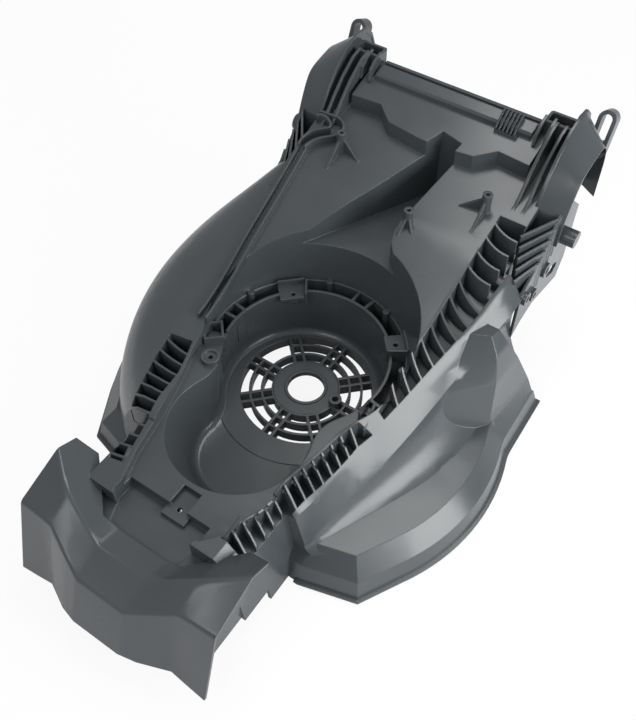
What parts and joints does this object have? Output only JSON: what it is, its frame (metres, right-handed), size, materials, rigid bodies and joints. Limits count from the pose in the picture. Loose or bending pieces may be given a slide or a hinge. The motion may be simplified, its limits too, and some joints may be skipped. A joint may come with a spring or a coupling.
{
  "type": "lawn mower deck",
  "caption": "Moulded plastic deck of an electric rotary mower: round blade skirt, motor well with vent grille, front hood and rising grass tunnel with wheel arches.",
  "frame": {"origin": "Middle of the spindle hole, level with the floor of the scoop in front of the motor.", "axes": "+Z is the blade spindle's axis, pointing up out of the motor well. Y is the direction of travel, with the hood at -Y."},
  "size_m": [0.423, 0.6338, 0.2576],
  "materials": {
    "deck_plastic": "moulded dark grey, semi-gloss"
  },
  "bodies": {
    "root": {"mower_deck": "deck_plastic"}
  },
  "joints": []
}
